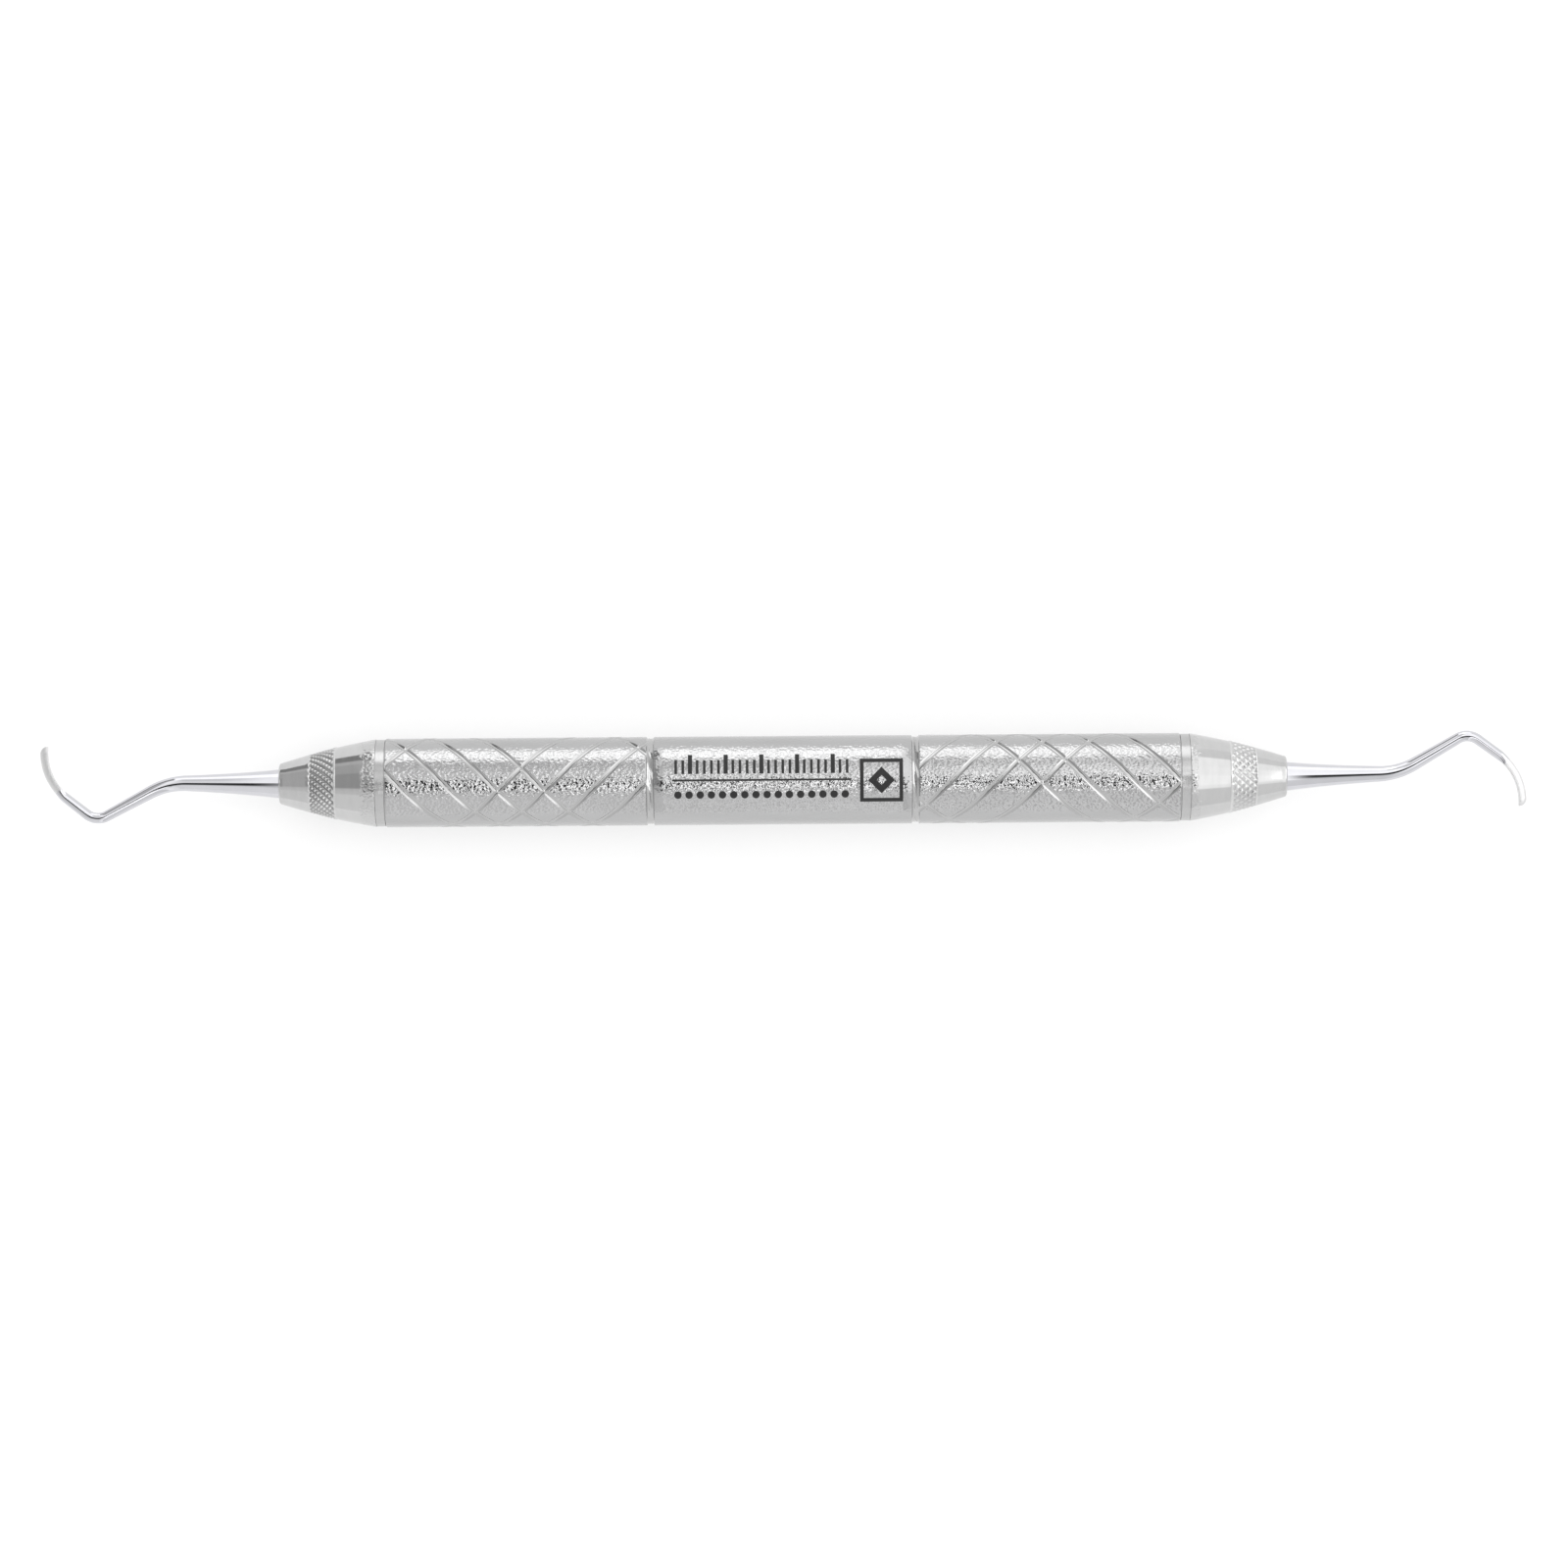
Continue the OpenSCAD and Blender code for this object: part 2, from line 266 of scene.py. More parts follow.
def handle_tube():
    skin = Skin()
    mouth_edge, bore_depth = 0.1, 4.0   # rounding of the tube's two mouths, and their plain bores
    tiny = 1e-3
    groove_low, groove_high = ring_groove_x - ring_groove_w / 2, ring_groove_x + ring_groove_w / 2
    inner, outer = {}, {}
    for name, side in SIDES.items():
        low_x, high_x = sorted((side * groove_high, side * (half_handle - mouth_edge)))
        falling, rising = ZONES[name]["falling"], ZONES[name]["rising"]
        bm = bmesh.new()
        textured_zone(bm, low_x, high_x, falling, rising)
        bm.verts.ensure_lookup_table()
        places = np.array([v.co for v in bm.verts])
        turn = np.arctan2(-places[:, 1], places[:, 2])
        round_s = turn * handle_r
        sink = np.maximum(groove_sink(places[:, 0] - round_s, *falling),
                          groove_sink(places[:, 0] + round_s, *rising))
        radii = handle_r - groove_depth * np.clip(sink, 0, 1)
        places[:, 1], places[:, 2] = -radii * np.sin(turn), radii * np.cos(turn)
        row = skin.row(places, np.where(sink > -tiny, 1.0, 0.0))
        skin.faces += [tuple(row[v.index] for v in face.verts) for face in bm.faces]
        for x, ends in ((side * groove_high, inner), (side * (half_handle - mouth_edge), outer)):
            rim = [v.index for v in bm.verts if any(e.is_boundary for e in v.link_edges)
                   and abs(v.co.x - x) < tiny]
            rim.sort(key=lambda k: turn[k])
            ends[name] = ([row[k] for k in rim], turn[rim], radii[rim])
        bm.free()

    def follow(rim, profile):
        """Carries a rim on through a profile of (x, r), no further out than the rim itself."""
        last, turns, radii = rim
        for x, r in profile:
            row = skin.row(turn_points(x, np.minimum(radii, r), turns), 1.0)
            skin.strip(last, row)
            last = row
        return last

    # ring grooves with rounded lips, each wall as (distance in from its edge, radius), and the
    # marked middle between them
    floor_r = handle_r - ring_groove_depth
    wall = [(0.03, handle_r - 0.02), (0.08, handle_r - 0.12), (0.14, floor_r + 0.015), (0.22, floor_r)]
    middle_turns = np.arange(TUBE_SIDES) * 2 * pi / TUBE_SIDES - pi
    middle_bands = 24
    middle = None
    for name, side in SIDES.items():
        floor_row = follow(inner[name], [(side * (groove_high - d), r) for d, r in wall])
        near = [(side * (groove_low + d), r) for d, r in reversed(wall)]
        rows = [skin.row(turn_points(x, r, middle_turns), 1.0) for x, r in near]
        skin.stitch(floor_row, rows[0])
        skin.strips(rows)
        lip = skin.row(turn_points(side * groove_low, handle_r, middle_turns), 0.0)
        skin.strip(rows[-1], lip)
        if middle is None:
            middle = lip
            for x in steps(-groove_low, groove_low, middle_bands)[1:-1]:
                row = skin.row(turn_points(x, handle_r, middle_turns), 0.0)
                skin.strip(middle, row)
                middle = row
        else:
            skin.strip(middle, lip)
    # mouths and bore, as (distance in from the tube's end, radius)
    mouth = [(0.07, handle_r - 0.01), (0.03, handle_r - 0.035), (0.008, handle_r - 0.065),
             (0, handle_r - mouth_edge), (0, bore_r + 0.15), (0.15, bore_r), (bore_depth, bore_r)]
    bores = [follow(outer[name], [(side * (half_handle - d), r) for d, r in mouth])
             for name, side in SIDES.items()]
    skin.stitch(bores[0], bores[1])
    skin.piece("handle_tube_fine", 1, "handle", "handle_tube", "textured_steel", crease=50)


# ---------------------------------------------------------------- turned parts of one end


def thread_cut(x, angles):
    """Depth share of a right-hand thread, with flat crests and roots."""
    steepness, flat = 1.5, 0.25
    phase = (x / thread_pitch - angles / (2 * pi)) % 1
    return np.clip(abs(2 * phase - 1) * steepness - flat, 0, 1)


def thread_bush(name, side):
    skin = Skin()
    chamfer, rim, thread_rows = 0.4, 0.12, 120

    def inside(x, angles):
        from_end = min(x - bush_inner_x, bush_outer_x - x)
        return np.maximum(-thread_depth * (1 - thread_cut(x, angles)), chamfer - from_end)

    bore = lathe(skin, [(x, stud_bore_r) for x in steps(bush_inner_x, bush_outer_x, thread_rows)],
                 INNER_SIDES, inside)
    outside = lathe(skin, [(bush_outer_x, bore_r - rim), (bush_outer_x - rim, bore_r),
                           (bush_inner_x + rim, bore_r), (bush_inner_x, bore_r - rim)], INNER_SIDES)
    skin.strip(bore[-1], outside[0])
    skin.strip(outside[-1], bore[0])
    skin.piece(name + "_thread_bush_fine", side, "handle", name + "_thread_bush", "turned_steel")


def joint_ring(name, side):
    """A polished, nearly straight band, with a narrow shadow gap beside the handle and a narrower one
    beside the cone."""
    skin = Skin()
    edge_r, crown, crown_bands = joint_ring_r - 0.012, 0.002, 14
    handle_gap, handle_gap_depth = 0.07, 0.2
    cone_gap, cone_gap_depth = 0.03, 0.1
    rounding, chamfer = 0.04, 0.05
    low, high = half_handle + handle_gap, cone_base_x - cone_gap
    crown_rows = [(low + (high - low) * t, edge_r + crown * (1 - (2 * t - 1) ** 2))
                  for t in steps(0, 1, crown_bands)]
    profile = ([(half_handle, bore_r + chamfer), (half_handle, edge_r - handle_gap_depth),
                (low - 0.02, edge_r - handle_gap_depth), (low - 0.01, edge_r - rounding)]
               + crown_rows
               + [(cone_base_x - 0.01, edge_r - rounding), (cone_base_x, edge_r - cone_gap_depth),
                  (cone_base_x, bore_r + chamfer), (cone_base_x - chamfer, bore_r),
                  (half_handle + chamfer, bore_r)])
    lathe(skin, profile, RING_SIDES, closed=True)
    skin.piece(name + "_joint_ring_fine", side, name + "_ring", name + "_joint_ring", "polished_ring")


def o_ring(name, side):
    """A moulded ring with the fine flash line of its two mould halves."""
    skin = Skin()
    flash_height, flash_width, section_sides = 0.012, 0.12, 40
    profile = []
    for t in steps(0, 2 * pi, section_sides)[:-1]:
        flash = flash_height * exp(-((abs(sin(t)) / flash_width) ** 2))
        radius = seal_cord_r - flash_height + flash
        profile.append((seal_x + radius * sin(t), seal_mid_r + radius * cos(t)))
    lathe(skin, profile, SEAL_SIDES, closed=True)
    skin.piece(name + "_o_ring_fine", side, name + "_end", name + "_o_ring", "seal_rubber")


def cone_r(out):
    """Radius of the cone's side at a distance out from its base."""
    bulge = (cone_base_r - cone_tip_r - cone_base_slope * cone_len) / cone_len ** 2
    return cone_base_r - cone_base_slope * out - bulge * out ** 2


def knurl(side, x, angles):
    """Height of the knurled band over the cone: leaning ribs with close cross cuts on the left cone,
    and diamonds on the right one."""
    out = x - cone_base_x
    if not knurl_low <= out <= knurl_high:
        return np.zeros_like(angles)
    ribs = 28
    # distance along the cone in which a cut goes one rib further round, for each hand
    falling_lean, rising_lean = (0.98, 0.48) if side < 0 else (0.95, 0.95)
    rib_depth, cross_depth, diamond_depth = 0.25, 0.19, 0.15
    rib_flat, cross_flat = 0.1, 0.2         # shares of the tooth that stay uncut
    turn = ribs * angles / (2 * pi)
    tooth = lambda phase: 1 - abs(2 * (phase % 1) - 1)
    falling, rising = tooth(turn - out / falling_lean), tooth(turn + out / rising_lean)
    if side < 0:
        cut = np.maximum(rib_depth * smooth(falling * (1 + rib_flat) - rib_flat),
                         cross_depth * smooth(rising * (1 + cross_flat) - cross_flat))
    else:
        cut = diamond_depth * np.maximum(smooth(falling), smooth(rising))
    plain_edge, fade_len = 0.1, 0.3
    fade = smooth((out - knurl_low - plain_edge) / fade_len) * smooth((knurl_high - out) / fade_len)
    # the rolled band stands proud, most of all on the handle's side
    low_lift, lift_fall, low_rise_len, high_rise_len = 0.07, 0.06, 0.07, 0.2
    lift = low_lift - lift_fall * (out - knurl_low) / knurl_len
    lift = lift * smooth((out - knurl_low) / low_rise_len) * smooth((knurl_high - out) / high_rise_len)
    return lift - cut * fade


def end_cone(name, side):
    skin = Skin()
    # outside, from the base to the tip: rounded base edge, cone, knurled band, cone, rounded tip
    base_edge, tip_edge, socket_chamfer = 0.04, 0.3, 0.1
    tip_from = cone_len - tip_edge
    base_round = [(base_edge * (1 - cos(t)), base_edge * (1 - sin(t))) for t in steps(0, pi / 2, 5)]
    outs = (steps(base_edge, knurl_low, 16)[1:-1] + steps(knurl_low, knurl_high, 66)
            + steps(knurl_high, tip_from, 8)[1:-1])
    tip_round = [(cone_len - tip_edge * (1 - sin(t)), cone_r(tip_from) - tip_edge * (1 - cos(t)))
                 for t in steps(0, pi / 2, 7)]
    side_profile = ([(cone_base_x + out, cone_r(base_edge) - drop) for out, drop in base_round]
                    + [(cone_base_x + out, cone_r(out)) for out in outs]
                    + [(cone_base_x + out, r) for out, r in tip_round]
                    + [(cone_tip_x, tang_r + 0.12), (cone_tip_x - socket_chamfer, tang_r)])

    def lifted(x, angles):
        return knurl(side, x, angles)

    def valley_depth_and_shade(x, angles):
        """0 off the band, and on it 0.2 on the crests up to 1 in the deepest cuts; the cone's material also
        uses it for painted shade in the cuts.
        """
        height = lifted(x, angles)
        return np.where(abs(height) > 1e-6, np.clip(0.5 - 4 * height, 0.2, 1), 0)

    rows = lathe(skin, side_profile, CONE_SIDES, lifted, valley_depth_and_shade)
    socket = lathe(skin, [(cone_tip_x - tang_len + 0.3, tang_r), (cone_tip_x - tang_len, tang_r - 0.5)],
                   INNER_SIDES)
    skin.stitch(rows[-1], socket[0])
    skin.cap(socket[-1])

    # spigot with the seal's groove, then the threaded stud with its undercut
    groove_half, groove_r = seal_cord_r + 0.05, seal_mid_r - seal_cord_r
    core_r = stud_r - thread_depth
    spigot_chamfer, undercut_end, thread_rows = 0.1, 0.05, 100
    spigot = lathe(skin, [(cone_base_x, cone_r(base_edge) - 0.3), (cone_base_x, spigot_r),
                          (seal_x + groove_half, spigot_r), (seal_x + groove_half, groove_r),
                          (seal_x - groove_half, groove_r), (seal_x - groove_half, spigot_r),
                          (spigot_end_x + spigot_chamfer, spigot_r),
                          (spigot_end_x, spigot_r - spigot_chamfer),
                          (spigot_end_x, core_r)], INNER_SIDES)
    skin.stitch(rows[0], spigot[0])

    def thread(x, angles):
        chamfered = core_r + (x - stud_end_x)
        return np.minimum(stud_r - thread_depth * thread_cut(x, angles), chamfered) - stud_r

    stud = lathe(skin, [(x, stud_r) for x in steps(bush_outer_x - 0.1, stud_end_x, thread_rows)],
                 INNER_SIDES, thread)
    undercut = lathe(skin, [(bush_outer_x + undercut_end, core_r)], INNER_SIDES)
    skin.strip(spigot[-1], undercut[0])
    skin.strip(undercut[0], stud[0])
    skin.cap(stud[-1])
    skin.piece(name + "_cone_fine", side, name + "_end", name + "_cone", "polished_cone", crease=50)


# ---------------------------------------------------------------- working ends

corners = [(0, 0), (12.65, 0), (20.65, 4.4), (24.05, 1.8)]
bend_radii = (8.5, 2.1)
blade_curve_r, blade_turn = 6.5, 59
blade_thick, blade_w, toe_len = 0.86, 1.06, 0.9
shank_root_d, shank_end_d, shank_taper_len = 3.26, 0.9, 10.5
# shares on the blade: how much of one radius is cut away to the flat face, how much of its length
# blends from the round shank, and how thick and how wide the toe ends
face_depth, blend_share, toe_end_share, toe_end_w = 0.85, 0.25, 0.14, 0.25
ground_start, ground_fade = 0.9, 0.5    # where the ground finish starts, past the shank
LEAN = {"left": 0.8, "right": 1.1}      # degrees
blade_len = blade_curve_r * radians(blade_turn)


def centreline_runs():
    """The centreline as (length, turn): straight legs, the two bends between them, the blade's curve."""
    legs = [np.subtract(b, a) for a, b in zip(corners, corners[1:])]
    headings = [atan2(leg[1], leg[0]) for leg in legs]
    turns = [b - a for a, b in zip(headings, headings[1:])]
    trims = [0] + [r * tan(abs(t) / 2) for r, t in zip(bend_radii, turns)] + [0]
    runs = []
    for i, leg in enumerate(legs):
        runs.append((hypot(*leg) - trims[i] - trims[i + 1], 0))
        if i < len(turns):
            runs.append((bend_radii[i] * abs(turns[i]), turns[i]))
    return runs + [(blade_len, -radians(blade_turn))]


runs = centreline_runs()
shank_len = sum(length for length, _ in runs[:-1])


def centreline(s):
    """Place and heading at arc length s."""
    place, heading = np.zeros(2), 0.0
    for length, turn in runs:
        along = min(s, length) if (length, turn) != runs[-1] else s
        swing = turn * along / length
        chord = along if turn == 0 else 2 * length / turn * sin(swing / 2)
        place = place + chord * np.array([cos(heading + swing / 2), sin(heading + swing / 2)])
        heading += swing
        s -= along
        if s <= 0:
            break
    return place, heading


def shank_r(s):
    return shank_end_d / 2 + (shank_root_d - shank_end_d) / 2 * exp(-max(s, 0) / shank_taper_len)


def working_section(s, count):
    """Section at arc length s: round on the shank, half-round with a flat face on the blade."""
    m = float(smooth((s - shank_len) / (blend_share * blade_len)))
    t = max(0, s - shank_len - blade_len + toe_len) / toe_len
    toe = sqrt(max(toe_end_share ** 2, 1 - t * t))
    full = 2 * shank_r(s) * (1 - m) + blade_thick * m
    thick, cut = full * toe, 1 - face_depth * m
    back = thick / (1 + cut)
    half_w = (shank_r(s) * (1 - m) + blade_w / 2 * m) * (toe_end_w + (1 - toe_end_w) * toe)
    # three quarters of the points follow the back up to the two edges, the others cross the face
    edge_angle = min(0.75 * pi, acos(-cut))
    arc = 3 * count // 4
    angles = np.concatenate([np.linspace(-edge_angle, edge_angle, arc + 1)[:-1],
                             np.linspace(edge_angle, 2 * pi - edge_angle, count - arc + 1)[:-1]])
    across = np.maximum(back * np.cos(angles), -cut * back) + cut * back - full / 2
    return across, half_w * np.sin(angles)


def working_end(name, side):
    skin = Skin()
    section_sides, shank_rows, blade_rows, toe_rows = 64, 220, 70, 20
    lean = radians(LEAN[name] if side > 0 else -LEAN[name])
    turn = np.array([[cos(lean), -sin(lean)], [sin(lean), cos(lean)]])
    angles = np.linspace(-0.75 * pi, 1.25 * pi, section_sides + 1)[:-1]

    def ring(place, heading, across, up, value):
        normal = np.array([-sin(heading), cos(heading)])
        level = (place + across[:, None] * normal) @ turn.T
        return skin.row(np.stack([cone_tip_x + level[:, 0], level[:, 1], up], axis=1), value)

    # the tang as (distance out from the cone's tip, radius), then the shank, the blade and its toe
    seat_r = tang_r - 0.02
    tang = ((-tang_len + 0.3, tang_r - 0.15), (-tang_len + 0.45, seat_r), (-0.2, seat_r))
    rows = [ring(np.array([u, 0.0]), 0.0, r * np.cos(angles), r * np.sin(angles), 0.0) for u, r in tang]
    toe_from = shank_len + blade_len - toe_len
    stations = [0.0] + steps(0.02, shank_len, shank_rows) + steps(shank_len, toe_from, blade_rows)[1:]
    stations += [shank_len + blade_len - toe_len * (1 - sin(t)) for t in steps(0, pi / 2, toe_rows)[1:]]
    ground_from = shank_len + ground_start
    for s in stations:
        place, heading = centreline(s)
        across, up = working_section(s, section_sides)
        rows.append(ring(place, heading, across, up, float(smooth((s - ground_from) / ground_fade))))
    skin.strips(rows)
    skin.cap(rows[0])
    skin.cap(rows[-1])
    skin.piece(name + "_working_end_fine", side, name + "_end", name + "_working_end", "mirror_steel",
               crease=40)


# ---------------------------------------------------------------- materials


class Nodes:
    """Adds and joins the shader nodes of one node tree."""

    def __init__(self, tree):
        self.tree = tree

    def add(self, kind, sockets=None, **settings):
        node = self.tree.nodes.new(kind)
        for key, value in settings.items():
            setattr(node, key, value)
        for key, value in (sockets or {}).items():
            self.feed(node.inputs[key], value)
        return node

    def feed(self, socket, value):
        if isinstance(value, bpy.types.NodeSocket):
            self.tree.links.new(value, socket)
        else:
            socket.default_value = value

    def math(self, operation, *values):
        node = self.add("ShaderNodeMath", operation=operation)
        for socket, value in zip(node.inputs, values):
            self.feed(socket, value)
        return node.outputs[0]

    def ramp(self, value, low, high, to_low=0.0, to_high=1.0, smooth_step=True):
        """Maps low..high to to_low..to_high, and holds the ends."""
        node = self.add("ShaderNodeMapRange", {"Value": value, "From Min": low, "From Max": high,
                                               "To Min": to_low, "To Max": to_high},
                        interpolation_type="SMOOTHSTEP" if smooth_step else "LINEAR")
        return node.outputs["Result"]

    def inside(self, value, low, high, soft=0.02):
        """1 between low and high, 0 outside."""
        return self.math("MULTIPLY", self.ramp(value, low - soft, low + soft),
                         self.ramp(value, high + soft, high - soft))

    def scaled(self, vector, factors):
        return self.add("ShaderNodeVectorMath", {0: vector, 1: factors}, operation="MULTIPLY").outputs[0]

    def noise(self, vector, scale, detail=2.0, roughness=0.5):
        return self.add("ShaderNodeTexNoise", {"Vector": vector, "Scale": scale, "Detail": detail,
                                               "Roughness": roughness}).outputs["Fac"]

    def streaks(self, vector, factors, detail=3.0):
        """Noise with the place scaled by a factor along each axis: a small one draws it out."""
        return self.noise(self.scaled(vector, factors), 1.0, detail)

    def mix(self, share, a, b):
        """Colour mix."""
        node = self.add("ShaderNodeMix", data_type="RGBA")
        for key, value in ((0, share), (6, a), (7, b)):
            self.feed(node.inputs[key], value)
        return node.outputs[2]

    def blend(self, share, a, b):
        """Number mix."""
        node = self.add("ShaderNodeMix", data_type="FLOAT")
        for key, value in ((0, share), (2, a), (3, b)):
            self.feed(node.inputs[key], value)
        return node.outputs[0]

    def bump(self, height, distance):
        """Bump of a 0 to 1 height field that is distance millimetres deep."""
        return self.add("ShaderNodeBump", {"Height": height, "Strength": 1.0,
                                           "Distance": distance * MM}).outputs["Normal"]

    def value_of(self, name):
        return self.add("ShaderNodeAttribute", attribute_name=name).outputs["Fac"]

    def place(self):
        """Place on the piece in millimetres, as a vector."""
        return self.scaled(self.add("ShaderNodeTexCoord").outputs["Object"], (1 / MM,) * 3)

    def parts(self, vector):
        return self.add("ShaderNodeSeparateXYZ", {0: vector}).outputs


def new_material(name, **sockets):
    """A material with its own shader, and the node helper for its tree."""
    material = bpy.data.materials.new(name)
    material.use_nodes = True
    nodes = Nodes(material.node_tree)
    shader = material.node_tree.nodes["Principled BSDF"]
    for key, value in sockets.items():
        shader.inputs[key.replace("_", " ")].default_value = value
    return material, nodes, shader


def grey(value, blue=0.0):
    return (value, value, value + blue, 1)


def repeat(n, x, start, step):
    """Number and phase, 0 to 1, of the repeat of a row that starts at start."""
    along = n.math("DIVIDE", n.math("SUBTRACT", x, start), step)
    return n.math("FLOOR", along), n.math("FRACT", along)


def generic_marks(n, x, y, z):
    """Dark laser marks on top of the handle's middle: a graduated scale, a rule, a row of dots and
    a framed diamond. Returns 1 on a mark."""
    row_low, row_high = -12.4, 7.6
    tick_step, tick_foot = 0.8, 0.75
    tick_tops, tick_halves = (2.3, 2.9), (0.15, 0.24)       # common ticks, and every fifth one
    rule_low, rule_high = -0.07, 0.15
    dot_step, dot_row_y, dot_r, dot_soft = 1.25, -1.6, 0.42, 0.02
    frame_mid_x, frame_mid_y, frame_inner, frame_outer = 11.05, -0.07, 2.0, 2.42
    diamond_inner, diamond_outer = 0.55, 1.5

    number, phase = repeat(n, x, row_low, tick_step)
    off_tick = n.math("MULTIPLY", n.math("ABSOLUTE", n.math("SUBTRACT", phase, 0.5)), tick_step)
    fifth = n.math("LESS_THAN", n.math("MODULO", n.math("ADD", number, 3.0), 5.0), 0.5)
    in_height = n.math("MULTIPLY", n.math("GREATER_THAN", y, tick_foot),
                       n.math("LESS_THAN", y, n.blend(fifth, *tick_tops)))
    tick = n.math("MULTIPLY", n.math("LESS_THAN", off_tick, n.blend(fifth, *tick_halves)), in_height)
    rule = n.inside(y, rule_low, rule_high)
    _, dot_phase = repeat(n, x, row_low, dot_step)
    dot_x = n.math("MULTIPLY", n.math("SUBTRACT", dot_phase, 0.5), dot_step)
    dot_y = n.math("SUBTRACT", y, dot_row_y)
    dot_off = n.math("SQRT", n.math("ADD", n.math("MULTIPLY", dot_x, dot_x),
                                    n.math("MULTIPLY", dot_y, dot_y)))
    dots = n.ramp(dot_off, dot_r + dot_soft, dot_r - dot_soft)
    rows = n.math("MULTIPLY", n.inside(x, row_low, row_high),
                  n.math("MAXIMUM", n.math("MAXIMUM", tick, rule), dots))
    off_x = n.math("ABSOLUTE", n.math("SUBTRACT", x, frame_mid_x))
    off_y = n.math("ABSOLUTE", n.math("SUBTRACT", y, frame_mid_y))
    square = n.inside(n.math("MAXIMUM", off_x, off_y), frame_inner, frame_outer)
    diamond = n.inside(n.math("ADD", off_x, off_y), diamond_inner, diamond_outer)
    marks = n.math("MAXIMUM", rows, n.math("MAXIMUM", square, diamond))
    return n.math("MULTIPLY", marks, n.math("GREATER_THAN", z, axis_z))


DIMPLE_DEPTH = 0.05


def dimples(n, place):
    """Height of the sparkling texture: close, uneven grains about 0.3 mm across, a little longer along
    the handle than round it."""
    place = n.scaled(place, (0.7, 1.0, 1.0))
    grains = n.add("ShaderNodeTexVoronoi", {"Vector": place, "Scale": 3.4, "Smoothness": 0.2,
                                            "Randomness": 1.0}, feature="SMOOTH_F1").outputs["Distance"]
    fine = n.noise(place, 4.6, 1.0, 0.5)
    return n.math("ADD", n.math("MULTIPLY", grains, 0.5), n.math("MULTIPLY", fine, 0.5))


def textured_steel():
    """The handle's skin: dimpled, polished inside the grooves and mouths, with dark marks on top."""
    material, n, shader = new_material("textured_steel", Metallic=1.0)
    place = n.place()
    x, y, z = n.parts(place)
    polished = n.value_of("finish_and_shade")
    plain = n.math("SUBTRACT", 1.0, polished)
    marks = generic_marks(n, x, y, z)
    smudge = n.streaks(place, (0.12, 0.5, 0.5))
    tone = n.mix(smudge, grey(0.42), grey(0.50, 0.004))
    tone = n.mix(polished, tone, grey(0.48))
    n.feed(shader.inputs["Base Color"], n.mix(marks, tone, grey(0.012)))
    n.feed(shader.inputs["Metallic"], n.math("SUBTRACT", 1.0, n.math("MULTIPLY", marks, 0.85)))
    rough = n.blend(polished, n.ramp(n.noise(place, 1.3, 3.0), 0.3, 0.7, 0.04, 0.07), 0.08)
    n.feed(shader.inputs["Roughness"], n.blend(marks, rough, 0.5))
    n.feed(shader.inputs["Normal"], n.bump(n.math("MULTIPLY", dimples(n, place), plain), DIMPLE_DEPTH))
    return material


def polished_cone():
    """Turned and polished, with the handle's texture run on a little past the joint, and painted shade that
    darkens the knurl's deepest cuts.
    """
    left_reach, right_reach, ragged_by, soft = 1.35, 0.75, 0.45, 0.1
    texture_share, lathe_share, pit_share = 1.6, 0.025, 0.2
    material, n, shader = new_material("polished_cone", Metallic=1.0)
    place = n.place()
    x = n.parts(place)[0]
    right = n.math("GREATER_THAN", x, 0.0)
    # the knurl's cut depth, which sets both the band's finish and its painted valley shade
    depth = n.value_of("finish_and_shade")
    knurled = n.ramp(depth, 0.0, 0.15)
    # painted shade: how much of the darker colour the knurl's deepest cuts get, from the cut depth
    valley_depth_and_shade = n.ramp(depth, 0.5, 1.0)
    out = n.math("SUBTRACT", n.math("ABSOLUTE", x), float(cone_base_x))
    wander = n.ramp(n.noise(place, 1.6, 3.0), 0.3, 0.7, -ragged_by, ragged_by, smooth_step=False)
    past = n.math("SUBTRACT", n.math("ADD", out, wander), n.blend(right, left_reach, right_reach))
    spill = n.ramp(past, soft, -soft)
    tone = n.mix(n.streaks(place, (1.5, 0.35, 0.35)), grey(0.53), grey(0.60))
    tone = n.mix(spill, tone, grey(0.54))
    tone = n.mix(knurled, tone, n.mix(right, grey(0.61), grey(0.64)))
    # deep knurl cuts are given a darker colour: painted shade, strongest on the left cone
    n.feed(shader.inputs["Base Color"], n.mix(valley_depth_and_shade, tone, n.mix(right, grey(0.36), grey(0.50))))
    turned = n.streaks(place, (9.0, 0.15, 0.15), 2.0)
    rough = n.blend(knurled, n.ramp(turned, 0.3, 0.7, 0.07, 0.13), 0.2)
    n.feed(shader.inputs["Roughness"], n.blend(spill, rough, 0.06))
    texture = n.math("MULTIPLY", dimples(n, place), n.math("MULTIPLY", spill, texture_share))
    lathe_lines = n.math("MULTIPLY", turned, lathe_share)
    pits = n.math("MULTIPLY", n.noise(place, 7.0, 2.0), n.math("MULTIPLY", knurled, pit_share))
    height = n.math("ADD", texture, n.math("ADD", lathe_lines, pits))
    n.feed(shader.inputs["Normal"], n.bump(height, DIMPLE_DEPTH))
    return material


def polished_ring():
    material, n, shader = new_material("polished_ring", Metallic=1.0)
    place = n.place()
    smudge = n.noise(place, 0.9, 3.0)
    n.feed(shader.inputs["Base Color"], n.mix(smudge, grey(0.46), grey(0.52)))
    n.feed(shader.inputs["Roughness"], n.ramp(smudge, 0.3, 0.7, 0.20, 0.26))
    n.feed(shader.inputs["Normal"], n.bump(n.noise(place, 2.0, 2.0), 0.008))
    return material


def turned_steel():
    material, n, shader = new_material("turned_steel", Metallic=1.0)
    lines = n.streaks(n.place(), (14.0, 0.25, 0.25))
    n.feed(shader.inputs["Base Color"], n.mix(lines, grey(0.44), grey(0.54)))
    n.feed(shader.inputs["Roughness"], n.ramp(lines, 0.3, 0.7, 0.22, 0.34))
    n.feed(shader.inputs["Normal"], n.bump(lines, 0.006))
    return material


